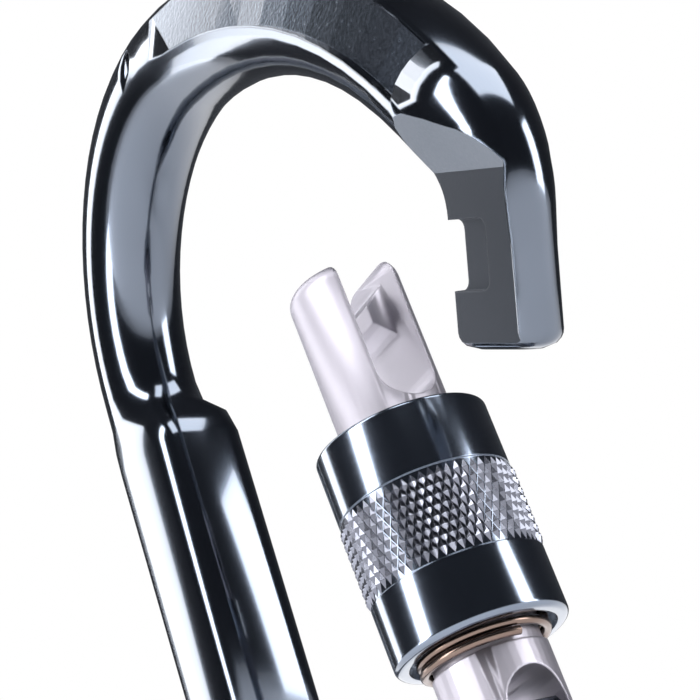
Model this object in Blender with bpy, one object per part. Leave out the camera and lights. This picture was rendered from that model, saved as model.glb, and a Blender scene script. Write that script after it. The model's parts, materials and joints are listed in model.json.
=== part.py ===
"""Locking carabiner: a pear-shaped forged bar with a screw-sleeve gate.

Frames. The row frame has +Z up along the spine, +X from the spine to the gate
and Y across the bar. The gate frame has its origin on the hinge axis and +Z
along the gate; GATE_LEAN tilts it from the spine when the gate is shut, and
GATE_OPENING swings it back toward the spine, which is how the part is stored.
Sizes are in metres, written as millimetres times MM.
"""
import math

import bmesh
import bpy
from mathutils import Matrix, Vector

MM = 0.001

# ---- Gate angles
GATE_LEAN = math.radians(23.5)       # shut gate from the spine
GATE_OPENING = math.radians(30.0)    # full opening, the stored pose

# ---- Bar centre line, from the hinge round to the nose
SPINE_OFFSET = 45.1 * MM             # hinge axis to the spine's line
BOTTOM_DEPTH = 3.0 * MM              # hinge axis down to the bottom bend's centre
TOP_RADII = (25.1 * MM, 47.1 * MM, 10.3 * MM)
TOP_TURNS = (math.radians(96.1), math.radians(58.5))
SHOULDER_HEIGHT = 53.5 * MM          # top of the flat-sided spine, above the hinge
SPINE_FOOT = 2.0 * MM                # where the flat sides begin
SHOULDER_BLEND = 4.5 * MM

# ---- Bar sections: half widths in the plane, half thickness across it
ROUND_HALF = 5.4 * MM
ROUND_THICK = 4.6 * MM
SPINE_INNER = 8.6 * MM
SPINE_OUTER = 4.0 * MM
SPINE_THICK = 4.8 * MM
SPINE_CORNER = 2.7 * MM
CROWN_HALF = 5.7 * MM
CROWN_THICK = 5.5 * MM
CROWN_GROWN = 0.4                    # share of the crown at which it is full size

# ---- Nose, measured along the shut gate from the hinge axis
NOSE_END = 37.5 * MM
NOSE_OUTER = 6.35 * MM
NOSE_INNER = 4.8 * MM
NOSE_RIB_HALF = 2.4 * MM
NOSE_EDGE = 1.9 * MM
NOSE_END_FILLET = 1.5 * MM
TAPER_START = 27.0 * MM              # bar thins toward the nose over this stretch,
TAPER_END = 7.0 * MM                 # both measured back from the nose's end
BLADE_HALF = 2.1 * MM
BLADE_EDGE = 5.0 * MM                # blade flat's outer edge, beside the rib
BLADE_TOP = 52.5 * MM                # where the ramp starts
RAMP_ANGLE = math.radians(30.0)
NOTCH_BOTTOM = 42.5 * MM
NOTCH_TOP = 48.5 * MM
NOTCH_FLOOR = -3.1 * MM
POCKET_FLOOR = 1.3 * MM
POCKET_CORNER = 0.9 * MM
WEB_HALF = 1.1 * MM

# ---- Forged recess in each side of the crown
RECESS_INNER = 1.0 * MM              # inward edge, from the bar's centre line
RECESS_OUTER = 4.4 * MM              # outward edge
RECESS_DEPTH = 1.1 * MM              # at the inward edge, below the bar's full thickness
RECESS_FALL = 1.5 * MM               # further depth at the outward edge
RECESS_START = 0.36                  # shares of the crown bends' length
RECESS_END = 0.88
RECESS_FADE = 0.25

# ---- Gate
ROD_RADIUS = 5.2 * MM
LOWER_ROD_RADIUS = 5.33 * MM
GATE_LENGTH = 50.3 * MM
TIP_FILLET = 1.5 * MM
SLOT_HALF = 2.9 * MM
SLOT_BOTTOM = 35.8 * MM
TOOTH_BOTTOM = 46.0 * MM             # crown of the window's arch
TOOTH_TOP = 47.3 * MM
TOOTH_GAP_HALF = 1.5 * MM
TOOTH_REACH = 0.5 * MM               # tooth face's outer edge from the gate axis
TOOTH_FILLET = 1.35 * MM
FORK_HALF = 2.95 * MM
FORK_TOP = 9.7 * MM
THREAD_RADIUS = 6.1 * MM
THREAD_BOTTOM = 25.3 * MM
THREAD_TOP = 33.4 * MM
THREAD_CHAMFER = 0.5 * MM
SPRING_BORE_RADIUS = 1.5 * MM
SPRING_BORE_TOP = 27.0 * MM
SPRING_OFFSET = 1.9 * MM             # spring's line, inward of the gate axis
RING_GROOVE_DEPTH = 0.35 * MM

# ---- Sleeve, in its unscrewed place
SLEEVE_RADIUS = 8.0 * MM
SLEEVE_BOTTOM = 13.7 * MM
SLEEVE_LENGTH = 20.6 * MM
SLEEVE_EDGE = 0.6 * MM
KNURL_FROM_TOP = 6.25 * MM
KNURL_LENGTH = 8.1 * MM
KNURL_PROUD = 0.2 * MM
MOUTH_RADIUS = 6.95 * MM             # clears the nose when the sleeve is up
MOUTH_DEPTH = 6.0 * MM
LIP_HEIGHT = 1.5 * MM
RING_RECESS_DEPTH = 1.3 * MM

# ---- Stop ring: spring wire wound nearly twice round the gate
WIRE_RADIUS = 0.42 * MM
RING_TURNS = 1.85
RING_PITCH = 0.9 * MM

# ---- Hinge
RIVET_RADIUS = 1.7 * MM
RIVET_HEAD_RADIUS = 2.6 * MM
RIVET_HEAD_HEIGHT = 0.9 * MM
RIVET_DOME = 0.3 * MM
DOME_SHARES = (0.62, 0.25)           # dome's radii as shares of the head's
TONGUE_CHAMFER = 0.9 * MM
TONGUE_SIDE = 4.9 * MM
HORN_TOP = 8.0 * MM                  # tongue's outer horn, above the hinge axis
HORN_WIDTH = 0.9 * MM
CAM_SHUT_HEIGHT = 5.4 * MM           # under the plunger with the gate shut
CAM_MARGIN = math.radians(3.0)       # cam runs on past the gate's full opening

# ---- Return spring and its plunger
PLUNGER_HEAD = 5.0 * MM
PLUNGER_STEM_RADIUS = 0.5 * MM
PLUNGER_STEM = 4.0 * MM
SPRING_WIRE_RADIUS = 0.2 * MM
SPRING_TURNS = 10.0

# ---- Clearances
GAP = 0.3 * MM                       # between neighbours
SLIDE_GAP = 0.35 * MM                # tongue in fork, sleeve on thread and rod
HINGE_GAP = 0.45 * MM                # gate's round end in the bar's seat
HINGE_LIP = 3.6 * MM                 # seat's lips stop this far below the axis
OVERSHOOT = 6.0 * MM                 # cutters reach this far past what they cut

PLUNGER_RADIUS = SPRING_BORE_RADIUS - GAP

# ---- Facets
RING_QUARTER = 7                     # section points in a quarter
BEND_STEP = math.radians(5.0)
TURNED_SIDES = 48
SMOOTH_ANGLE = math.radians(35.0)
HEEL_STEPS = 2
SPINE_STEPS = 24
NOSE_STEPS = 3
TIP_STEPS = 4
CORNER_STEPS = 5
CAM_STEPS = 8
SLOT_STEPS = 16                      # in a half circle
HEEL_ARC_STEPS = 20
RING_STEPS = 32                      # in one turn of the stop ring
SPRING_STEPS = 16                    # in one turn of the spring


# ---------------------------------------------------------------- materials
def material(name, colour, roughness, metallic):
    """A Principled material with one colour."""
    made = bpy.data.materials.new(name)
    made.use_nodes = True
    shader = made.node_tree.nodes["Principled BSDF"]
    shader.inputs["Base Color"].default_value = (*colour, 1.0)
    shader.inputs["Roughness"].default_value = roughness
    shader.inputs["Metallic"].default_value = metallic
    return made


# ------------------------------------------------------------ object helpers
def add_object(name, mesh, parent, look=None):
    """Link a mesh under a parent empty, smooth where it is round."""
    made = bpy.data.objects.new(name, mesh)
    bpy.context.scene.collection.objects.link(made)
    made.parent = parent
    mesh.shade_smooth()
    mesh.set_sharp_from_angle(angle=SMOOTH_ANGLE)
    if look:
        mesh.materials.append(look)
    return made


def add_cutter(name, mesh, parent):
    """A tool solid: drawn as wire and left out of renders."""
    made = add_object(name, mesh, parent)
    made.display_type = "WIRE"
    made.hide_render = True
    return made


def combine(target, tool, operation):
    """Add an exact Boolean of the tool to the target."""
    made = target.modifiers.new(tool.name, "BOOLEAN")
    made.operation = operation
    made.solver = "EXACT"
    made.object = tool


def mesh_from(name, build):
    """Make a mesh with a function that fills a bmesh, faces outward."""
    work = bmesh.new()
    build(work)
    bmesh.ops.recalc_face_normals(work, faces=work.faces)
    mesh = bpy.data.meshes.new(name)
    work.to_mesh(mesh)
    work.free()
    return mesh


def loft(name, rings):
    """Close a tube of equal rings with an n-gon at each end."""
    def build(work):
        rows = [[work.verts.new(point) for point in ring] for ring in rings]
        for low, high in zip(rows, rows[1:]):
            for side in range(len(low)):
                after = (side + 1) % len(low)
                work.faces.new((low[side], low[after], high[after], high[side]))
        work.faces.new(rows[0])
        work.faces.new(rows[-1])
    return mesh_from(name, build)


def turned(name, profile):
    """Revolve closed (radius, height) points round Z."""
    def build(work):
        columns = []
        for side in range(TURNED_SIDES):
            turn = 2.0 * math.pi * side / TURNED_SIDES
            columns.append([
                work.verts.new((r * math.cos(turn), r * math.sin(turn), z)) for r, z in profile
            ])
        for side, column in enumerate(columns):
            beside = columns[(side + 1) % TURNED_SIDES]
            for row in range(len(profile)):
                above = (row + 1) % len(profile)
                work.faces.new((column[row], beside[row], beside[above], column[above]))
    return mesh_from(name, build)


def solid_turned(name, profile, axis="Z"):
    """Revolve an open (radius, height) profile whose ends close on discs."""
    rings = []
    for radius, height in profile:
        ring = []
        for side in range(TURNED_SIDES):
            turn = 2.0 * math.pi * side / TURNED_SIDES
            ring.append(Vector((radius * math.cos(turn), radius * math.sin(turn), height)))
        rings.append(ring)
    mesh = loft(name, rings)
    if axis == "Y":
        mesh.transform(Matrix.Rotation(math.pi / 2, 4, "X"))
    return mesh


def prism(name, outline, low, high, across):
    """Extrude an outline between two planes; across says which axis is the depth."""
    place = {
        "X": lambda a, b, depth: (depth, a, b),
        "Y": lambda a, b, depth: (a, depth, b),
        "Z": lambda a, b, depth: (a, b, depth),
    }[across]
    return loft(name, [[place(a, b, depth) for a, b in outline] for depth in (low, high)])


def arc(centre, radius, start, end, count):
    """Points on an arc in a plane, both ends included."""
    return [
        (centre[0] + radius * math.cos(start + (end - start) * step / count),
         centre[1] + radius * math.sin(start + (end - start) * step / count))
        for step in range(count + 1)
    ]


def blend(start, end, share):
    """Ease from start to end while share runs from 0 to 1."""
    share = min(max(share, 0.0), 1.0)
    ease = share * share * (3.0 - 2.0 * share)
    return start + (end - start) * ease


# --------------------------------------------------------------- bar's line
AXIS = Vector((math.sin(GATE_LEAN), 0.0, math.cos(GATE_LEAN)))
OUTWARD = Vector((math.cos(GATE_LEAN), 0.0, -math.sin(GATE_LEAN)))


def bend(place, heading, radius, turn):
    """Stations round a clockwise bend: place, heading and length of each step."""
    count = max(2, round(turn / BEND_STEP))
    side = Vector((math.sin(heading), 0.0, -math.cos(heading)))
    centre = place + radius * side
    stations = []
    for step in range(1, count + 1):
        now = heading - turn * step / count
        outward = Vector((-math.sin(now), 0.0, math.cos(now)))
        stations.append((centre + radius * outward, now, radius * turn / count))
    return stations


def straight(place, heading, length, count):
    """Stations along a straight run."""
    step = Vector((math.cos(heading), 0.0, math.sin(heading))) * (length / count)
    return [(place + step * (index + 1), heading, length / count) for index in range(count)]


def bar_stations():
    """The whole centre line: place, heading, stretch, share of it, length still ahead."""
    down = -math.pi / 2 - GATE_LEAN
    crown_turns = TOP_TURNS + (math.pi + GATE_LEAN - sum(TOP_TURNS),)
    bottom_radius = (
        (SPINE_OFFSET * math.cos(GATE_LEAN) - BOTTOM_DEPTH * math.sin(GATE_LEAN))
        / (1.0 + math.cos(GATE_LEAN))
    )
    centre = Vector((bottom_radius - SPINE_OFFSET, 0.0, -BOTTOM_DEPTH))
    run_in = -centre.dot(AXIS) - HINGE_LIP

    # The crown's bends end on the nose's line; that sets where they begin.
    nose_middle = (NOSE_OUTER - NOSE_INNER) / 2.0
    offset = Vector((0.0, 0.0, 0.0))
    heading = math.pi / 2
    for radius, turn in zip(TOP_RADII, crown_turns):
        offset = bend(offset, heading, radius, turn)[-1][0]
        heading -= turn
    crown_foot = (
        offset.dot(OUTWARD) - SPINE_OFFSET * math.cos(GATE_LEAN) - nose_middle
    ) / math.sin(GATE_LEAN)

    start = -HINGE_LIP * AXIS
    runs = [("heel", straight(start, down, run_in, HEEL_STEPS))]
    place, heading = runs[-1][1][-1][:2]
    runs.append(("bottom", bend(place, heading, bottom_radius, math.pi / 2 + math.pi + down)))
    place = runs[-1][1][-1][0]
    runs.append(("spine", straight(place, math.pi / 2, crown_foot - place.z, SPINE_STEPS)))
    place, heading = runs[-1][1][-1][:2]
    crown = []
    for radius, turn in zip(TOP_RADII, crown_turns):
        crown += bend(place, heading, radius, turn)
        place, heading = crown[-1][:2]
    runs.append(("crown", crown))
    length = place.dot(AXIS) - NOSE_END - NOSE_END_FILLET
    runs.append(("nose", straight(place, heading, length, NOSE_STEPS)))
    place = runs[-1][1][-1][0]
    runs.append(("tip", straight(place, heading, NOSE_END_FILLET, TIP_STEPS)))

    ahead = sum(step[2] for _, steps in runs for step in steps)
    stations = [(start, down, "heel", 0.0, ahead)]
    for stretch, steps in runs:
        total = sum(step[2] for step in steps)
        gone = 0.0
        for place, heading, length in steps:
            gone += length
            ahead -= length
            stations.append((place, heading, stretch, gone / total, ahead))
    return stations


def section(place, stretch, share, ahead):
    """Inner half, outer half, half thickness and the corner's two radii."""
    nose_half = (NOSE_OUTER + NOSE_INNER) / 2.0
    if stretch in ("heel", "bottom"):
        return ROUND_HALF, ROUND_HALF, ROUND_THICK, ROUND_HALF, ROUND_THICK
    if stretch == "spine":
        rise = min(place.z - SPINE_FOOT, SHOULDER_HEIGHT - place.z) / SHOULDER_BLEND
        return (
            blend(ROUND_HALF, SPINE_INNER, rise),
            blend(ROUND_HALF, SPINE_OUTER, rise),
            blend(ROUND_THICK, SPINE_THICK, rise),
            blend(ROUND_HALF, SPINE_CORNER, rise),
            blend(ROUND_THICK, SPINE_CORNER, rise),
        )
    grown = share / CROWN_GROWN if stretch == "crown" else 1.0
    half = blend(ROUND_HALF, CROWN_HALF, grown)
    thick = blend(ROUND_THICK, CROWN_THICK, grown)
    thin = (TAPER_START - ahead) / (TAPER_START - TAPER_END)
    inset = 0.0
    if stretch == "tip":
        inset = NOSE_END_FILLET * (1.0 - math.sqrt(max(0.0, 1.0 - share * share)))
    return (
        blend(half, nose_half, thin) - inset,
        blend(half, nose_half, thin) - inset,
        blend(thick, NOSE_RIB_HALF, thin) - inset,
        blend(half, NOSE_EDGE, thin),
        blend(thick, NOSE_RIB_HALF, thin) - inset,
    )


def ring_points(inner, outer, thick, corner_in, corner_across):
    """A rounded rectangle as (in-plane, across) pairs, in-plane positive outward.

    Points stand half a step off the quarters, so that each flat lies square to its axis.
    """
    points = []
    for quarter, (out_sign, side_sign) in enumerate(((1, 1), (-1, 1), (-1, -1), (1, -1))):
        half = outer if out_sign > 0 else inner
        radius = min(corner_in, half)
        for step in range(RING_QUARTER):
            turn = (quarter + (step + 0.5) / RING_QUARTER) * math.pi / 2
            points.append((
                out_sign * (half - radius) + radius * math.cos(turn),
                side_sign * (thick - corner_across) + corner_across * math.sin(turn),
            ))
    return points


def bar_mesh():
    """The forged bar, swept along its centre line."""
    rings = []
    for place, heading, stretch, share, ahead in bar_stations():
        outward = Vector((-math.sin(heading), 0.0, math.cos(heading)))
        rings.append([
            place + outward * in_plane + Vector((0.0, across, 0.0))
            for in_plane, across in ring_points(*section(place, stretch, share, ahead))
        ])
    return loft("body", rings)


# -------------------------------------------------------------- body's tools
def recess_cutter(side):
    """A curved slab that sinks into one side of the crown and fades at its foot."""
    crown = [item for item in bar_stations() if item[2] == "crown"]
    rings = []
    for place, heading, stretch, share, ahead in crown:
        if not RECESS_START <= share <= RECESS_END:
            continue
        outward = Vector((-math.sin(heading), 0.0, math.cos(heading)))
        thick = section(place, stretch, share, ahead)[2]
        depth = blend(-GAP, RECESS_DEPTH, (share - RECESS_START) / RECESS_FADE)
        floor = thick - depth
        rings.append([
            place + outward * in_plane + Vector((0.0, side * across, 0.0))
            for in_plane, across in (
                (-RECESS_INNER, thick + OVERSHOOT), (RECESS_OUTER, thick + OVERSHOOT),
                (RECESS_OUTER, floor - RECESS_FALL), (-RECESS_INNER, floor),
            )
        ])
    return loft("recess_cutter", rings)


def blade_cutter(side):
    """The flat of the blade and the ramp above it, on one side of the nose."""
    top = BLADE_TOP + 3.0 * OVERSHOOT
    far = BLADE_HALF + (top - BLADE_TOP) * math.tan(RAMP_ANGLE)
    outline = [
        (side * BLADE_HALF, NOSE_END - OVERSHOOT), (side * BLADE_HALF, BLADE_TOP),
        (side * far, top), (side * far, NOSE_END - OVERSHOOT),
    ]
    return prism("blade_cutter", outline, -3.0 * OVERSHOOT, BLADE_EDGE, "X")


def rounded_box(low, high, radius, corners):
    """A rectangle in two axes with the chosen corners rounded; counter-clockwise."""
    places = {
        "right_top": ((high[0], high[1]), 0.0), "left_top": ((low[0], high[1]), math.pi / 2),
        "left_bottom": ((low[0], low[1]), math.pi), "right_bottom": ((high[0], low[1]), 1.5 * math.pi),
    }
    points = []
    for name, (corner, start) in places.items():
        if name in corners:
            centre = (
                corner[0] - math.copysign(radius, math.cos(start + math.pi / 4)),
                corner[1] - math.copysign(radius, math.sin(start + math.pi / 4)),
            )
            points += arc(centre, radius, start, start + math.pi / 2, CORNER_STEPS)
        else:
            points.append(corner)
    return points


def cam_height(swing):
    """Height of the cam under the plunger, along the gate: an involute's steady rise."""
    return CAM_SHUT_HEIGHT + SPRING_OFFSET * swing


def tongue_outline():
    """The hinge tongue in the shut gate's frame: outer horn, plunger cam and two sides."""
    root = -HINGE_LIP - OVERSHOOT
    wall = PLUNGER_RADIUS + GAP - SPRING_OFFSET
    points = [(TONGUE_SIDE, root), (TONGUE_SIDE, 0.0), (wall + HORN_WIDTH, HORN_TOP), (wall, HORN_TOP)]
    points.append((wall, cam_height(0.0)))
    for step in range(CAM_STEPS + 1):
        swing = (GATE_OPENING + CAM_MARGIN) * step / CAM_STEPS
        height = cam_height(swing)
        points.append((
            -SPRING_OFFSET * math.cos(swing) - height * math.sin(swing),
            -SPRING_OFFSET * math.sin(swing) + height * math.cos(swing),
        ))
    side = points[-1][0]
    points += [(side, 0.0), (-TONGUE_SIDE, -HINGE_LIP), (-TONGUE_SIDE, root)]
    return points


def build_body(assembly, shut_frame, look):
    """The forged frame: bar, nose, recesses and the hinge tongue."""
    body = add_object("body", bar_mesh(), assembly, look)
    seat_radius = LOWER_ROD_RADIUS + HINGE_GAP
    reach = 2.0 * OVERSHOOT
    seat = solid_turned("hinge_seat_cutter", [(seat_radius, -reach), (seat_radius, reach)], "Y")
    combine(body, add_cutter("hinge_seat_cutter", seat, shut_frame), "DIFFERENCE")

    tongue_half = FORK_HALF - SLIDE_GAP
    tongue_mesh = prism("tongue", tongue_outline(), -tongue_half, tongue_half, "Y")
    tongue = add_cutter("tongue_tool", tongue_mesh, shut_frame)
    chamfer = tongue.modifiers.new("chamfer", "BEVEL")
    chamfer.width = TONGUE_CHAMFER
    chamfer.limit_method = "ANGLE"
    chamfer.angle_limit = math.radians(60.0)
    combine(body, tongue, "UNION")
    hole_radius = RIVET_RADIUS + SLIDE_GAP / 2.0
    hole = solid_turned("tongue_hole_cutter", [(hole_radius, -reach), (hole_radius, reach)], "Y")
    combine(body, add_cutter("tongue_hole_cutter", hole, shut_frame), "DIFFERENCE")

    for side, label in ((-1, "near"), (1, "far")):
        blade = add_cutter("blade_cutter_" + label, blade_cutter(side), shut_frame)
        combine(body, blade, "DIFFERENCE")
        outline = rounded_box(
            (-3.0 * OVERSHOOT, NOTCH_BOTTOM), (POCKET_FLOOR, NOTCH_TOP),
            POCKET_CORNER, ("right_top", "right_bottom"),
        )
        depths = sorted((side * WEB_HALF, side * (WEB_HALF + OVERSHOOT)))
        pocket = prism("pocket_cutter", outline, depths[0], depths[1], "Y")
        combine(body, add_cutter("pocket_cutter_" + label, pocket, shut_frame), "DIFFERENCE")
    outline = rounded_box(
        (-3.0 * OVERSHOOT, NOTCH_BOTTOM), (NOTCH_FLOOR, NOTCH_TOP),
        POCKET_CORNER, ("right_top", "right_bottom"),
    )
    notch = prism("notch_cutter", outline, -OVERSHOOT, OVERSHOOT, "Y")
    combine(body, add_cutter("notch_cutter", notch, shut_frame), "DIFFERENCE")
    for side, label in ((-1, "near"), (1, "far")):
        recess = add_cutter("recess_cutter_" + label, recess_cutter(side), assembly)
        combine(body, recess, "DIFFERENCE")
    return body


# --------------------------------------------------------------------- gate
def groove_span():
    """Bottom and top of the gate's ring groove."""
    height = RING_TURNS * RING_PITCH + 2.0 * WIRE_RADIUS
    top = SLEEVE_BOTTOM + RING_RECESS_DEPTH - GAP / 2.0
    return top - height - GAP, top


def gate_mesh():
    """The gate's turned blank: round end, groove, thread band and filleted tip."""
    low, high = groove_span()
    groove = LOWER_ROD_RADIUS - RING_GROOVE_DEPTH
    step = SLEEVE_BOTTOM + RING_RECESS_DEPTH + LIP_HEIGHT
    profile = [
        (LOWER_ROD_RADIUS, -LOWER_ROD_RADIUS - GAP), (LOWER_ROD_RADIUS, low), (groove, low),
        (groove, high), (LOWER_ROD_RADIUS, high), (LOWER_ROD_RADIUS, step), (ROD_RADIUS, step + GAP),
        (ROD_RADIUS, THREAD_BOTTOM), (THREAD_RADIUS, THREAD_BOTTOM + THREAD_CHAMFER),
        (THREAD_RADIUS, THREAD_TOP - THREAD_CHAMFER), (ROD_RADIUS, THREAD_TOP),
    ]
    profile += arc((ROD_RADIUS - TIP_FILLET, GATE_LENGTH - TIP_FILLET), TIP_FILLET, 0.0, math.pi / 2, 6)
    return solid_turned("gate", profile)


def window_outline():
    """The wide slot's obround window, in (across, along)."""
    points = arc((0.0, TOOTH_BOTTOM - SLOT_HALF), SLOT_HALF, 0.0, math.pi, SLOT_STEPS)
    points += arc((0.0, SLOT_BOTTOM + SLOT_HALF), SLOT_HALF, math.pi, 2.0 * math.pi, SLOT_STEPS)
    return points


def tooth_gap_outline():
    """The narrow slot between the teeth, flared above them, in (across, along)."""
    flare = SLOT_HALF - TOOTH_GAP_HALF
    top = GATE_LENGTH + OVERSHOOT
    low = SLOT_BOTTOM + SLOT_HALF
    right = [
        (TOOTH_GAP_HALF, low), (TOOTH_GAP_HALF, TOOTH_TOP),
        (SLOT_HALF, TOOTH_TOP + flare), (SLOT_HALF, top),
    ]
    return right + [(-across, along) for across, along in reversed(right)]


def build_gate(gate_frame, look):
    """The gate: slotted, toothed head above, fork and spring bore below."""
    gate = add_object("gate", gate_mesh(), gate_frame, look)
    reach = 2.0 * OVERSHOOT

    def cut(name, mesh):
        combine(gate, add_cutter(name, mesh, gate_frame), "DIFFERENCE")

    cut("window_cutter", prism("window_cutter", window_outline(), -reach, reach, "X"))
    cut("tooth_gap_cutter", prism("tooth_gap_cutter", tooth_gap_outline(), -reach, reach, "X"))
    open_side = rounded_box(
        (TOOTH_REACH, -SLOT_HALF), (reach, SLOT_HALF), TOOTH_FILLET, ("left_top", "left_bottom"),
    )
    cut("open_side_cutter", prism(
        "open_side_cutter", open_side, SLOT_BOTTOM + SLOT_HALF, GATE_LENGTH + OVERSHOOT, "Z",
    ))

    fork = arc((0.0, FORK_TOP - FORK_HALF), FORK_HALF, 0.0, math.pi, SLOT_STEPS)
    fork += [(-FORK_HALF, -reach), (FORK_HALF, -reach)]
    cut("fork_cutter", prism("fork_cutter", fork, -reach, reach, "X"))
    bore = [(SPRING_BORE_RADIUS, FORK_TOP - FORK_HALF), (SPRING_BORE_RADIUS, SPRING_BORE_TOP)]
    bore_mesh = solid_turned("spring_bore_cutter", bore)
    bore_mesh.transform(Matrix.Translation((-SPRING_OFFSET, 0.0, 0.0)))
    cut("spring_bore_cutter", bore_mesh)

    # The end below the axis is round about the hinge.
    heel = [(-reach, 0.0), (-LOWER_ROD_RADIUS, 0.0)]
    heel += arc((0.0, 0.0), LOWER_ROD_RADIUS, math.pi, 2.0 * math.pi, HEEL_ARC_STEPS)[1:]
    heel += [(reach, 0.0), (reach, -reach), (-reach, -reach)]
    cut("heel_cutter", prism("heel_cutter", heel, -reach, reach, "Y"))

    hole = RIVET_RADIUS + SLIDE_GAP / 2.0
    head = RIVET_HEAD_RADIUS + GAP
    seat = LOWER_ROD_RADIUS - RIVET_HEAD_HEIGHT - GAP
    profile = [(head, -reach), (head, -seat), (hole, -seat), (hole, seat), (head, seat), (head, reach)]
    cut("rivet_cutter", solid_turned("rivet_cutter", profile, "Y"))
    return gate


# ------------------------------------------------------------------- sleeve
def build_sleeve(gate_frame, look):
    """The screw sleeve: plain ends, a proud band for the knurl, stepped bore."""
    bottom = SLEEVE_BOTTOM
    top = SLEEVE_BOTTOM + SLEEVE_LENGTH
    edge = SLEEVE_EDGE
    band_top = top - KNURL_FROM_TOP
    band_bottom = band_top - KNURL_LENGTH
    band = SLEEVE_RADIUS + KNURL_PROUD
    recess = LOWER_ROD_RADIUS + SLIDE_GAP + 2.0 * WIRE_RADIUS + GAP
    lip = LOWER_ROD_RADIUS + SLIDE_GAP
    bore = THREAD_RADIUS + SLIDE_GAP
    ledge = bottom + RING_RECESS_DEPTH
    profile = arc((SLEEVE_RADIUS - edge, bottom + edge), edge, -math.pi / 2, 0.0, 4)
    profile += [
        (SLEEVE_RADIUS, band_bottom), (band, band_bottom + KNURL_PROUD),
        (band, band_top - KNURL_PROUD), (SLEEVE_RADIUS, band_top),
    ]
    profile += arc((SLEEVE_RADIUS - edge / 2.0, top - edge / 2.0), edge / 2.0, 0.0, math.pi / 2, 4)
    profile += [
        (MOUTH_RADIUS, top), (MOUTH_RADIUS, top - MOUTH_DEPTH),
        (bore, top - MOUTH_DEPTH - (MOUTH_RADIUS - bore)),
        (bore, ledge + LIP_HEIGHT + (bore - lip)), (lip, ledge + LIP_HEIGHT), (lip, ledge),
        (recess, ledge), (recess, bottom),
    ]
    return add_object("locking_sleeve", turned("locking_sleeve", profile), gate_frame, look)


# --------------------------------------------------------------- small parts
def wire_coil(name, parent, look, radius, wire, turns, pitch, start, steps, ends_flat):
    """A coil of round wire about Z, its ends closed; flat ends lie in a plane."""
    curve = bpy.data.curves.new(name, "CURVE")
    curve.dimensions = "3D"
    curve.bevel_depth = wire
    curve.bevel_resolution = 2
    curve.use_fill_caps = True
    spline = curve.splines.new("POLY")
    count = round(turns * steps) + 1
    spline.points.add(count - 1)
    for index in range(count):
        wound = index / steps
        turn = 2.0 * math.pi * wound
        climb = wound
        if ends_flat:
            climb = min(max(wound - 0.5, 0.0), turns - 1.0)
        spline.points[index].co = (
            radius * math.cos(turn), radius * math.sin(turn), start + pitch * climb, 1.0,
        )
    made = bpy.data.objects.new(name, curve)
    bpy.context.scene.collection.objects.link(made)
    made.parent = parent
    curve.materials.append(look)
    return made


def build_ring(gate_frame, look):
    """The stop ring in the gate's groove, under the sleeve's lip."""
    low, _ = groove_span()
    radius = LOWER_ROD_RADIUS - RING_GROOVE_DEPTH + GAP + WIRE_RADIUS
    return wire_coil(
        "stop_ring", gate_frame, look, radius, WIRE_RADIUS, RING_TURNS, RING_PITCH,
        low + GAP / 2.0 + WIRE_RADIUS, RING_STEPS, False,
    )


def build_rivet(gate_frame, look):
    """The hinge rivet, its two low domed heads sunk in the fork."""
    neck = LOWER_ROD_RADIUS - RIVET_HEAD_HEIGHT
    half = [
        (RIVET_RADIUS, 0.0), (RIVET_RADIUS, neck), (RIVET_HEAD_RADIUS, neck),
        (RIVET_HEAD_RADIUS, LOWER_ROD_RADIUS - RIVET_DOME - GAP),
        (RIVET_HEAD_RADIUS * DOME_SHARES[0], LOWER_ROD_RADIUS - GAP),
        (RIVET_HEAD_RADIUS * DOME_SHARES[1], LOWER_ROD_RADIUS),
    ]
    profile = [(radius, -height) for radius, height in reversed(half)] + half[1:]
    return add_object("hinge_rivet", solid_turned("hinge_rivet", profile, "Y"), gate_frame, look)


def build_plunger(spring_frame, look):
    """The spring's plunger: round tip on the cam, stem up inside the spring."""
    tip = cam_height(GATE_OPENING) + GAP
    profile = arc((0.0, tip + PLUNGER_RADIUS), PLUNGER_RADIUS, -math.radians(80.0), 0.0, 6)
    head_top = tip + PLUNGER_HEAD
    profile += [
        (PLUNGER_RADIUS, head_top), (PLUNGER_STEM_RADIUS, head_top),
        (PLUNGER_STEM_RADIUS, head_top + PLUNGER_STEM),
    ]
    return add_object("spring_plunger", solid_turned("spring_plunger", profile), spring_frame, look)


def build_spring(spring_frame, look):
    """The return spring, between the plunger's head and the bore's end."""
    low = cam_height(GATE_OPENING) + GAP + PLUNGER_HEAD + GAP + SPRING_WIRE_RADIUS
    high = SPRING_BORE_TOP - GAP - SPRING_WIRE_RADIUS
    radius = SPRING_BORE_RADIUS - GAP - SPRING_WIRE_RADIUS
    pitch = (high - low) / (SPRING_TURNS - 1.0)
    return wire_coil(
        "gate_spring", spring_frame, look, radius, SPRING_WIRE_RADIUS, SPRING_TURNS, pitch,
        low, SPRING_STEPS, True,
    )


# ------------------------------------------------------------------ assembly
def add_frame(name, parent, lean):
    """An empty at its parent's origin, leaning from +Z toward +X."""
    made = bpy.data.objects.new(name, None)
    bpy.context.scene.collection.objects.link(made)
    made.parent = parent
    made.rotation_euler = (0.0, lean, 0.0)
    return made


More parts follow.
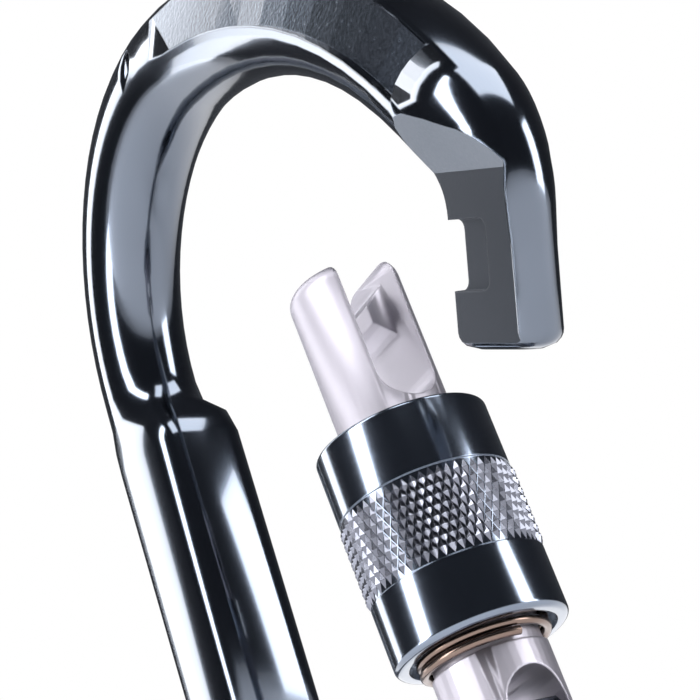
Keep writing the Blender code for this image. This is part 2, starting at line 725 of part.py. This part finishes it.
def main():
    for old in list(bpy.data.objects):
        bpy.data.objects.remove(old, do_unlink=True)

    gunmetal = material("gunmetal_aluminium", (0.035, 0.042, 0.055), 0.18, 1.0)
    sleeve_look = material("black_anodised_aluminium", (0.03, 0.036, 0.048), 0.2, 1.0)
    satin = material("clear_anodised_aluminium", (0.52, 0.50, 0.54), 0.45, 1.0)
    bronze_steel = material("tempered_steel", (0.16, 0.13, 0.12), 0.3, 1.0)
    steel = material("stainless_steel", (0.55, 0.55, 0.56), 0.3, 1.0)

    assembly = add_frame("carabiner", None, 0.0)
    shut_frame = add_frame("shut_gate_frame", assembly, GATE_LEAN)
    gate_frame = add_frame("gate_hinge", assembly, GATE_LEAN - GATE_OPENING)
    spring_frame = add_frame("spring_line", gate_frame, 0.0)
    spring_frame.location.x = -SPRING_OFFSET

    body = build_body(assembly, shut_frame, gunmetal)
    build_gate(gate_frame, satin)
    build_sleeve(gate_frame, sleeve_look)
    build_ring(gate_frame, bronze_steel)
    build_rivet(gate_frame, steel)
    build_plunger(spring_frame, steel)
    build_spring(spring_frame, steel)

    # The row's origin is the middle of the bar's bounding box.
    for axis in range(3):
        places = [vertex.co[axis] for vertex in body.data.vertices]
        assembly.location[axis] = -(min(places) + max(places)) / 2.0


main()
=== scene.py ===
# %% [markdown]
# # A screw-gate carabiner
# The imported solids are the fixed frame. Here each visible solid is given a smooth skin and the finish of
# the real piece: polished anodised bar, bead-blasted gate, turned and knurled sleeve, tempered wire ring.

import json
import math

import bmesh
import bpy
from mathutils import Matrix, Vector


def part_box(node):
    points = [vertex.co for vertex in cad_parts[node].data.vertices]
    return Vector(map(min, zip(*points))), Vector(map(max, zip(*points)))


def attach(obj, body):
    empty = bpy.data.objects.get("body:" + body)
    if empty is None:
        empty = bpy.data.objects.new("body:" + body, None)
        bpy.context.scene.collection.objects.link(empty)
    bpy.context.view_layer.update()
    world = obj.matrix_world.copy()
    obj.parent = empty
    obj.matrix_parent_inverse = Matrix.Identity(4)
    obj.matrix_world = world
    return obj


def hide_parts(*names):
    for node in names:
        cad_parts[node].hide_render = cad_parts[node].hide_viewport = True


MM = 0.001
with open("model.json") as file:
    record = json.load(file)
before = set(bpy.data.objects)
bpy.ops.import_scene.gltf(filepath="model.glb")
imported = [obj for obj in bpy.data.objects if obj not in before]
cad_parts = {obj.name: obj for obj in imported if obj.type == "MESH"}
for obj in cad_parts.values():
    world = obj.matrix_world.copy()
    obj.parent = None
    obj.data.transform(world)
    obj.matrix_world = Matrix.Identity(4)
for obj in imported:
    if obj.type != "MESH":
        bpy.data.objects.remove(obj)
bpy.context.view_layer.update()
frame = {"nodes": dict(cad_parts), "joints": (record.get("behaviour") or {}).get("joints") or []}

# %% [markdown]
# ## Where the gate lies
# The gate swings on a rivet and the sleeve turns about the gate's own line, so both are found from the
# joints. A turned piece is easiest to make standing on Z and is then carried to that line by one matrix.

# %% The gate's line
joints = {joint["name"]: joint for joint in frame["joints"]}
pivot = Vector(joints["gate_hinge"]["pos_m"])
gate_axis = Vector(joints["sleeve_turn"]["axis"]).normalized()
ACROSS = Vector((0.0, 1.0, 0.0))
gate_out = ACROSS.cross(gate_axis).normalized()
gate_place = Matrix.Translation(pivot) @ Matrix((gate_out, ACROSS, gate_axis)).transposed().to_4x4()
swing = math.radians(joints["gate_hinge"]["range_deg"][1])
shut_place = (Matrix.Translation(pivot) @ Matrix.Rotation(swing, 4, "Y")
              @ Matrix.Translation(-pivot) @ gate_place)


def span_along(node):
    """Lowest and highest place along the gate, and the widest radius about it."""
    back = gate_place.inverted()
    points = [back @ vertex.co for vertex in frame["nodes"][node].data.vertices]
    heights = [point.z for point in points]
    return min(heights), max(heights), max(math.hypot(point.x, point.y) for point in points)


sleeve_low, sleeve_high, band_radius = span_along("locking_sleeve")
ring_low, ring_high, ring_radius = span_along("stop_ring")
print("sleeve from", round(sleeve_low / MM, 2), "to", round(sleeve_high / MM, 2), "mm along the gate")

# %% [markdown]
# ## One way to add a node, one way to write a colour
# Every node tree below is built with the same small function. Colours are written as sRGB hex, as a paint
# chart gives them, and turned to the linear values that a shader works in.

# %% Helpers for trees and colours
def add_node(tree, kind, settings=None, links=None):
    """Add a node; a setting names a socket (or its number) or a property of the node."""
    node = tree.nodes.new(kind)
    for name, value in (settings or {}).items():
        if isinstance(name, int) or name in node.inputs:
            node.inputs[name].default_value = value
        else:
            setattr(node, name, value)
    for socket, source in (links or {}).items():
        tree.links.new(source, node.inputs[socket])
    return node


def linear(hex_colour):
    """sRGB hex to linear red, green, blue, alpha."""
    channels = [int(hex_colour[place:place + 2], 16) / 255.0 for place in (1, 3, 5)]
    return tuple(c / 12.92 if c <= 0.04045 else ((c + 0.055) / 1.055) ** 2.4 for c in channels) + (1.0,)


# %% [markdown]
# ## Finishes
# Each finish is a metal with a fine pattern in its roughness and its surface. The pattern is solid noise on
# Object coordinates, sized in millimetres. The Bevel node rounds the light on an edge as tumbling rounds
# the real one, without making the mesh heavier.

# %% Metal finishes
def metal_finish(name, light, dark, rough, spread, grain, relief, edge, coat=0.0, lay=(1.0, 1.0, 1.0)):
    """A metal: two close colours, a roughness range, grain in metres, relief in metres and edge radius."""
    made = bpy.data.materials.new(name)
    made.use_nodes = True
    tree = made.node_tree
    shader = tree.nodes["Principled BSDF"]
    shader.inputs["Metallic"].default_value = 1.0
    shader.inputs["Coat Weight"].default_value = coat
    shader.inputs["Coat Roughness"].default_value = 0.04
    where = add_node(tree, "ShaderNodeTexCoord")
    stretched = add_node(tree, "ShaderNodeMapping", {"Scale": lay}, {"Vector": where.outputs["Object"]})
    fine = add_node(tree, "ShaderNodeTexNoise", {"Scale": 1.0 / grain, "Detail": 3.0},
                    {"Vector": stretched.outputs["Vector"]})
    broad = add_node(tree, "ShaderNodeTexNoise", {"Scale": 1.0 / (12.0 * MM), "Detail": 2.0},
                     {"Vector": where.outputs["Object"]})
    tint = add_node(tree, "ShaderNodeMix", {"data_type": "RGBA"}, {0: broad.outputs["Fac"]})
    tint.inputs[6].default_value = linear(dark)
    tint.inputs[7].default_value = linear(light)
    tree.links.new(tint.outputs[2], shader.inputs["Base Color"])
    gloss = add_node(tree, "ShaderNodeMapRange", {"To Min": rough - spread, "To Max": rough + spread},
                     {"Value": fine.outputs["Fac"]})
    tree.links.new(gloss.outputs["Result"], shader.inputs["Roughness"])
    rounded = add_node(tree, "ShaderNodeBevel", {"samples": 6, "Radius": edge})
    relief_node = add_node(tree, "ShaderNodeBump", {"Strength": 1.0, "Distance": relief},
                           {"Height": fine.outputs["Fac"], "Normal": rounded.outputs["Normal"]})
    tree.links.new(relief_node.outputs["Normal"], shader.inputs["Normal"])
    return made


# Polished, dark-anodised aluminium: a near mirror over a dark dyed oxide.
polished_anodised = metal_finish("polished_anodised_aluminium", "#535a65", "#454b55",
                                 0.12, 0.03, 0.08 * MM, 0.0006 * MM, 0.35 * MM, coat=0.5)
# Milled and anodised: satin, with a sparkle from its grain. The grain is drawn coarse enough to show.
milled_anodised = metal_finish("milled_anodised_aluminium", "#2c3038", "#24282f",
                               0.38, 0.08, 0.12 * MM, 0.006 * MM, 0.2 * MM)
forged_ramp = metal_finish("blasted_anodised_aluminium", "#666b73", "#565b63",
                           0.5, 0.08, 0.22 * MM, 0.02 * MM, 0.2 * MM)
# The recess floor is forged, then tumbled with the bar: glossy, but uneven.
forged_floor = metal_finish("forged_anodised_aluminium", "#4f5661", "#3c424c",
                            0.24, 0.08, 0.35 * MM, 0.02 * MM, 0.2 * MM, coat=0.3)
# Bead-blasted and clear-anodised: a soft, even grey.
blasted_clear = metal_finish("clear_anodised_aluminium", "#a5a2ab", "#9a97a0",
                              0.46, 0.05, 0.1 * MM, 0.003 * MM, 0.3 * MM)
# Fine turning leaves rings, so the sleeve's pattern is squeezed along the gate.
turned_anodised = metal_finish("turned_anodised_aluminium", "#666e7b", "#58606c",
                               0.15, 0.04, 0.12 * MM, 0.0012 * MM, 0.15 * MM, coat=0.4,
                               lay=(0.12, 0.12, 1.0))
knurled_anodised = metal_finish("knurled_anodised_aluminium", "#6f717a", "#5d5f68",
                                 0.22, 0.05, 0.1 * MM, 0.001 * MM, 0.04 * MM)
tempered_wire = metal_finish("tempered_spring_steel", "#75645c", "#5b4e48",
                             0.24, 0.05, 0.1 * MM, 0.001 * MM, 0.05 * MM)
# Rivet, spring and plunger are headed or drawn steel, left bright.
bright_steel = metal_finish("stainless_steel", "#c9c9cc", "#b8b8bc",
                            0.28, 0.05, 0.1 * MM, 0.001 * MM, 0.1 * MM)

# %% [markdown]
# ## Smooth skins
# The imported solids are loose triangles, which a mirror finish would show as facets. A copy with its points
# merged can be shaded smooth, and stays sharp where the real piece has a corner. A copy is used because
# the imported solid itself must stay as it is.

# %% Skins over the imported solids
SHARP = math.radians(22.0)
WELD = 0.001 * MM


def skin(node, name, body, finishes):
    """A merged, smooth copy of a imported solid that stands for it."""
    work = bmesh.new()
    work.from_mesh(frame["nodes"][node].data)
    bmesh.ops.remove_doubles(work, verts=work.verts, dist=WELD)
    mesh = bpy.data.meshes.new(name)
    work.to_mesh(mesh)
    work.free()
    for finish in finishes:
        mesh.materials.append(finish)
    mesh.shade_smooth()
    mesh.set_sharp_from_angle(angle=SHARP)
    made = bpy.data.objects.new(name, mesh)
    bpy.context.scene.collection.objects.link(made)
    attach(made, body)
    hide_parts(node)
    print(name, len(mesh.polygons), "faces")
    return made


bar = skin("body", "forged_bar", "frame", [polished_anodised, milled_anodised, forged_ramp, forged_floor])
gate_rod = skin("gate", "gate_rod", "gate", [blasted_clear])
rivet = skin("hinge_rivet", "rivet", "gate", [bright_steel])
for hidden in ("spring_plunger", "gate_spring"):
    slots = frame["nodes"][hidden].data.materials
    slots.clear()
    slots.append(bright_steel)

# %% [markdown]
# ## The milled nose
# The bar is polished all over, then the nose is milled to a blade that enters the gate. Those cuts stay
# satin. They are found by where they are and which way they face, in the line of the shut gate.

# %% Finish of the nose's cuts
BLADE_FACE = 2.15 * MM               # the blade's flats are just inside this
NOSE_FOOT = 36.0 * MM
RAMP_TOP = 64.0 * MM
NOSE_REACH = 12.0 * MM
RAMP_TILT = math.radians(30.0)
SQUARE = 0.999
RAMP_SPREAD = 0.004
RAMP_FALL = -0.45
back = shut_place.inverted()
turn_back = back.to_3x3()
counts = [0, 0, 0]
for face in bar.data.polygons:
    centre = back @ face.center
    normal = turn_back @ face.normal
    if not (NOSE_FOOT < centre.z < RAMP_TOP and abs(centre.x) < NOSE_REACH):
        continue
    square = abs(normal.y) > SQUARE and abs(centre.y) < BLADE_FACE
    ramp = abs(abs(normal.y) - math.cos(RAMP_TILT)) < RAMP_SPREAD and normal.z < RAMP_FALL
    face.material_index = 1 if square else 2 if ramp else 0
    counts[face.material_index] += 1
print("nose faces: polished, blade, ramp", counts)

# The crown's recess keeps the die's rougher skin: its floor lies well inside the bar's full thickness.
RECESS_FLOOR = 4.75 * MM
RECESS_FOOT = 61.5 * MM              # the recess ends this far along the shut gate's line
CROWN_INNER_END = -12.0 * MM
CROWN_LOW = 25.0 * MM
SIDEWAYS = 0.93                      # how square to the bar's side a floor face is
floor_faces = 0
for face in bar.data.polygons:
    on_crown = face.center.x > CROWN_INNER_END and face.center.z > CROWN_LOW
    past_nose = (back @ face.center).z > RECESS_FOOT
    sunk = abs(face.center.y) < RECESS_FLOOR and abs(face.normal.y) > SIDEWAYS
    if face.material_index == 0 and on_crown and past_nose and sunk:
        face.material_index = 3
        floor_faces += 1
print("recess floor faces", floor_faces)

# A cut's border is a real edge even where it is shallow, so shading stops there.
FLAT = math.radians(3.0)
work = bmesh.new()
work.from_mesh(bar.data)
for edge in work.edges:
    if len(edge.link_faces) == 2:
        one, other = (face.material_index for face in edge.link_faces)
        if one != other or (one in (1, 2) and edge.calc_face_angle() > FLAT):
            edge.smooth = False
work.to_mesh(bar.data)
work.free()

# %% [markdown]
# ## The sleeve
# A sleeve is turned from bar, so it is a profile carried round a line. Its knurl is rolled: two families of
# grooves cross and leave rows of small diamonds. That is one shape repeated by rule, so Geometry Nodes
# place it on points, row by row, each second row half a step on.

# %% Turn the sleeve's shell
SIDES = 128
KNURL_PROUD = 0.2 * MM
KNURL_FROM_TOP = 6.25 * MM
KNURL_LENGTH = 8.1 * MM
EDGE = 0.6 * MM
shell_radius = band_radius - KNURL_PROUD
band_top = sleeve_high - KNURL_FROM_TOP
band_low = band_top - KNURL_LENGTH


def rounded(radius_end, height_end, size, start, steps=6):
    """A quarter round in a (radius, height) profile."""
    return [(radius_end + size * math.cos(start + math.pi / 2 * step / steps),
             height_end + size * math.sin(start + math.pi / 2 * step / steps)) for step in range(steps + 1)]


MOUTH = 6.95 * MM                    # wide enough to pass over the nose
MOUTH_DEPTH = 6.0 * MM
BORE = 6.45 * MM
LIP = 5.68 * MM
LIP_HEIGHT = 1.5 * MM
RECESS = 6.82 * MM                   # room for the stop ring under the sleeve
RECESS_DEPTH = 1.3 * MM
KNURL_ROOT = 0.12 * MM               # the band under the diamonds is turned down by this much
ledge = sleeve_low + RECESS_DEPTH
root = shell_radius - KNURL_ROOT
profile = rounded(shell_radius - EDGE, sleeve_low + EDGE, EDGE, -math.pi / 2)
profile += [(shell_radius, band_low), (root, band_low), (root, band_top), (shell_radius, band_top)]
profile += rounded(shell_radius - EDGE / 2, sleeve_high - EDGE / 2, EDGE / 2, 0.0)
profile += [
    (MOUTH, sleeve_high), (MOUTH, sleeve_high - MOUTH_DEPTH),
    (BORE, sleeve_high - MOUTH_DEPTH - (MOUTH - BORE)),
    (BORE, ledge + LIP_HEIGHT + (BORE - LIP)), (LIP, ledge + LIP_HEIGHT), (LIP, ledge),
    (RECESS, ledge), (RECESS, sleeve_low),
]
work = bmesh.new()
columns = []
for side in range(SIDES):
    turn = 2.0 * math.pi * side / SIDES
    columns.append([work.verts.new((r * math.cos(turn), r * math.sin(turn), z)) for r, z in profile])
for side, column in enumerate(columns):
    beside = columns[(side + 1) % SIDES]
    for row in range(len(profile)):
        above = (row + 1) % len(profile)
        work.faces.new((column[row], beside[row], beside[above], column[above]))
bmesh.ops.recalc_face_normals(work, faces=work.faces)
shell_mesh = bpy.data.meshes.new("sleeve_shell")
work.to_mesh(shell_mesh)
work.free()
shell_mesh.transform(gate_place)
shell_mesh.materials.append(turned_anodised)
shell_mesh.shade_smooth()
shell_mesh.set_sharp_from_angle(angle=SHARP)
shell = bpy.data.objects.new("sleeve_shell", shell_mesh)
bpy.context.scene.collection.objects.link(shell)
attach(shell, "sleeve")
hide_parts("locking_sleeve")

# %% Make a tree into a plain piece
def from_tree(tree, name, sizes, body):
    """Run a node tree with these sizes, keep its mesh on the gate's line and let it ride on a body."""
    holder = bpy.data.objects.new(name + "_holder", bpy.data.meshes.new(name + "_holder"))
    bpy.context.scene.collection.objects.link(holder)
    modifier = holder.modifiers.new("tree", "NODES")
    modifier.node_group = tree
    for item in tree.interface.items_tree:
        if item.item_type == "SOCKET" and item.in_out == "INPUT" and item.name in sizes:
            modifier[item.identifier] = sizes[item.name]
    evaluated = holder.evaluated_get(bpy.context.evaluated_depsgraph_get())
    mesh = bpy.data.meshes.new_from_object(evaluated)
    holder.modifiers.remove(modifier)
    bpy.data.objects.remove(holder)
    mesh.name = name
    mesh.transform(gate_place)
    made = bpy.data.objects.new(name, mesh)
    bpy.context.scene.collection.objects.link(made)
    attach(made, body)
    print(name, len(mesh.polygons), "faces")
    return made


def new_tree(name, inputs):
    """An empty Geometry Nodes tree with named inputs and its two end nodes."""
    tree = bpy.data.node_groups.new(name, "GeometryNodeTree")
    for label, kind in inputs:
        tree.interface.new_socket(label, in_out="INPUT", socket_type=kind)
    tree.interface.new_socket("Geometry", in_out="OUTPUT", socket_type="NodeSocketGeometry")
    return tree, add_node(tree, "NodeGroupInput"), add_node(tree, "NodeGroupOutput")


# %% The knurl
AROUND = 60
ROWS = 8
tree, given, result = new_tree("knurl", [
    ("Around", "NodeSocketInt"), ("Rows", "NodeSocketInt"), ("Root radius", "NodeSocketFloat"),
    ("First row", "NodeSocketFloat"), ("Row step", "NodeSocketFloat"), ("Diamond size", "NodeSocketVector"),
])
total = add_node(tree, "ShaderNodeMath", {"operation": "MULTIPLY"},
                 {0: given.outputs["Around"], 1: given.outputs["Rows"]})
points = add_node(tree, "GeometryNodePoints", {}, {"Count": total.outputs[0]})
index = add_node(tree, "GeometryNodeInputIndex")
share = add_node(tree, "ShaderNodeMath", {"operation": "DIVIDE"},
                 {0: index.outputs[0], 1: given.outputs["Around"]})
row = add_node(tree, "ShaderNodeMath", {"operation": "FLOOR"}, {0: share.outputs[0]})
half = add_node(tree, "ShaderNodeMath", {"operation": "MULTIPLY", 1: 0.5}, {0: row.outputs[0]})
step_on = add_node(tree, "ShaderNodeMath", {"operation": "ADD"}, {0: index.outputs[0], 1: half.outputs[0]})
turns = add_node(tree, "ShaderNodeMath", {"operation": "DIVIDE"},
                 {0: step_on.outputs[0], 1: given.outputs["Around"]})
angle = add_node(tree, "ShaderNodeMath", {"operation": "MULTIPLY", 1: 2.0 * math.pi},
                 {0: turns.outputs[0]})
cosine = add_node(tree, "ShaderNodeMath", {"operation": "COSINE"}, {0: angle.outputs[0]})
sine = add_node(tree, "ShaderNodeMath", {"operation": "SINE"}, {0: angle.outputs[0]})
east = add_node(tree, "ShaderNodeMath", {"operation": "MULTIPLY"},
                {0: cosine.outputs[0], 1: given.outputs["Root radius"]})
north = add_node(tree, "ShaderNodeMath", {"operation": "MULTIPLY"},
                 {0: sine.outputs[0], 1: given.outputs["Root radius"]})
height = add_node(tree, "ShaderNodeMath", {"operation": "MULTIPLY_ADD"},
                  {0: row.outputs[0], 1: given.outputs["Row step"], 2: given.outputs["First row"]})
spot = add_node(tree, "ShaderNodeCombineXYZ", {},
                {0: east.outputs[0], 1: north.outputs[0], 2: height.outputs[0]})
placed = add_node(tree, "GeometryNodeSetPosition", {},
                  {"Geometry": points.outputs[0], "Position": spot.outputs[0]})
diamond = add_node(tree, "GeometryNodeMeshCone", {
    "Vertices": 4, "Radius Top": 0.06, "Radius Bottom": 1.0, "Depth": 1.0})
facing = add_node(tree, "GeometryNodeTransform", {"Rotation": (0.0, math.pi / 2, 0.0)},
                  {"Geometry": diamond.outputs["Mesh"]})
sized = add_node(tree, "GeometryNodeTransform", {},
                 {"Geometry": facing.outputs[0], "Scale": given.outputs["Diamond size"]})
turned_to = add_node(tree, "ShaderNodeCombineXYZ", {}, {2: angle.outputs[0]})
set_out = add_node(tree, "GeometryNodeInstanceOnPoints", {}, {
    "Points": placed.outputs[0], "Instance": sized.outputs[0], "Rotation": turned_to.outputs[0]})
real = add_node(tree, "GeometryNodeRealizeInstances", {}, {0: set_out.outputs[0]})
painted = add_node(tree, "GeometryNodeSetMaterial", {"Material": knurled_anodised},
                   {"Geometry": real.outputs[0]})
tree.links.new(painted.outputs[0], result.inputs[0])
row_step = KNURL_LENGTH / (ROWS + 1)
foot = root - 0.03 * MM               # the diamonds' flat feet just enter the round band
knurl = from_tree(tree, "sleeve_knurl", {
    "Around": AROUND, "Rows": ROWS, "Root radius": foot, "First row": band_low + row_step,
    "Row step": row_step,
    "Diamond size": (band_radius - foot, math.pi * shell_radius / AROUND, row_step),
}, "sleeve")

# %% [markdown]
# ## The stop ring
# Spring wire wound nearly twice round the gate keeps the sleeve from running off. A spiral and a round
# profile say exactly that, so the wire is a curve turned to a mesh.

# %% Wind the ring
WIRE = 0.42 * MM
RING_TURNS = 1.85
tree, given, result = new_tree("stop_ring", [
    ("Turns", "NodeSocketFloat"), ("Radius", "NodeSocketFloat"), ("Climb", "NodeSocketFloat"),
    ("Wire radius", "NodeSocketFloat"), ("Foot", "NodeSocketVector"),
])
wound = add_node(tree, "GeometryNodeCurveSpiral", {"Resolution": 96}, {
    "Rotations": given.outputs["Turns"], "Start Radius": given.outputs["Radius"],
    "End Radius": given.outputs["Radius"], "Height": given.outputs["Climb"]})
lifted = add_node(tree, "GeometryNodeTransform", {},
                  {"Geometry": wound.outputs[0], "Translation": given.outputs["Foot"]})
round_wire = add_node(tree, "GeometryNodeCurvePrimitiveCircle", {"Resolution": 16},
                      {"Radius": given.outputs["Wire radius"]})
wire_mesh = add_node(tree, "GeometryNodeCurveToMesh", {"Fill Caps": True},
                     {"Curve": lifted.outputs[0], "Profile Curve": round_wire.outputs[0]})
real = add_node(tree, "GeometryNodeRealizeInstances", {}, {0: wire_mesh.outputs[0]})
painted = add_node(tree, "GeometryNodeSetMaterial", {"Material": tempered_wire},
                   {"Geometry": real.outputs[0]})
tree.links.new(painted.outputs[0], result.inputs[0])
ring = from_tree(tree, "ring_wire", {
    "Turns": RING_TURNS, "Radius": ring_radius - WIRE, "Climb": ring_high - ring_low - 2.0 * WIRE,
    "Wire radius": WIRE, "Foot": (0.0, 0.0, ring_low + WIRE),
}, "ring")
ring.data.shade_smooth()
ring.data.set_sharp_from_angle(angle=math.radians(60.0))
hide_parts("stop_ring")

# %% [markdown]
# ## Camera, floor and studio light
# Polished metal shows the room, not itself. Two long soft boxes give the bright strips, and a dark tent
# that only reflections meet gives the deep tones between them.

# %% Camera
camera_data = bpy.data.cameras.new("camera")
camera_data.lens = 139.94
camera_data.sensor_width = 36.0
camera_data.clip_start = 0.01
camera = bpy.data.objects.new("camera", camera_data)
bpy.context.scene.collection.objects.link(camera)
ahead = Vector((-0.796315, 0.53178, 0.288256)).normalized()
upward = Vector((0.396343, 0.098725, 0.912779)).normalized()
right = ahead.cross(upward).normalized()
upward = right.cross(ahead).normalized()
camera.matrix_world = (Matrix.Translation((0.200744, -0.131114, -0.055356))
                       @ Matrix((right, upward, -ahead)).transposed().to_4x4())
bpy.context.scene.camera = camera

# %% Floor, tent and lights
def stage_mesh(name, build, colour, rough=0.9, glow=0.0):
    """A staged mesh with a plain finish."""
    work = bmesh.new()
    build(work)
    mesh = bpy.data.meshes.new(name)
    work.to_mesh(mesh)
    work.free()
    look = bpy.data.materials.new(name)
    look.use_nodes = True
    shader = look.node_tree.nodes["Principled BSDF"]
    shader.inputs["Base Color"].default_value = linear(colour)
    shader.inputs["Roughness"].default_value = rough
    shader.inputs["Emission Color"].default_value = linear("#c8d0e0")
    shader.inputs["Emission Strength"].default_value = glow
    mesh.materials.append(look)
    made = bpy.data.objects.new(name, mesh)
    bpy.context.scene.collection.objects.link(made)
    return made


floor = stage_mesh("floor", lambda work: bmesh.ops.create_grid(work, size=3.0), "#f4f4f6")
floor.location.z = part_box("body")[0].z - 0.5 * MM
TENT_RADIUS = 0.9
tent = stage_mesh(
    "reflection_tent",
    lambda work: bmesh.ops.create_icosphere(work, subdivisions=4, radius=TENT_RADIUS),
    "#0d0f13", glow=0.07,
)
tent.visible_camera = False
tent.visible_diffuse = False
tent.visible_shadow = False
tent.visible_transmission = False


def soft_box(name, side, lift, toward, width, length, power):
    """A soft box aimed at the object, placed by the camera's own directions."""
    data = bpy.data.lights.new(name, "AREA")
    data.shape = "RECTANGLE"
    data.size = width
    data.size_y = length
    data.energy = power
    made = bpy.data.objects.new(name, data)
    bpy.context.scene.collection.objects.link(made)
    place = right * side + upward * lift - ahead * toward
    facing = place.normalized()
    along = (upward - facing * upward.dot(facing)).normalized()
    turned = Matrix((along.cross(facing), along, facing)).transposed().to_4x4()
    made.matrix_world = Matrix.Translation(place) @ turned
    return made


soft_box("left_box", -0.42, 0.05, 0.16, 0.12, 0.9, 5.2)
soft_box("right_box", 0.44, 0.0, 0.12, 0.17, 0.9, 5.6)
soft_box("top_box", 0.05, 0.5, 0.1, 0.5, 0.25, 2.6)
soft_box("rim_box", -0.40, 0.1, -0.28, 0.14, 0.9, 2.4)

world = bpy.data.worlds.new("pale_room")
world.use_nodes = True
world.node_tree.nodes["Background"].inputs["Color"].default_value = linear("#ffffff")
world.node_tree.nodes["Background"].inputs["Strength"].default_value = 1.0
bpy.context.scene.world = world
bpy.context.scene.view_settings.view_transform = "Standard"
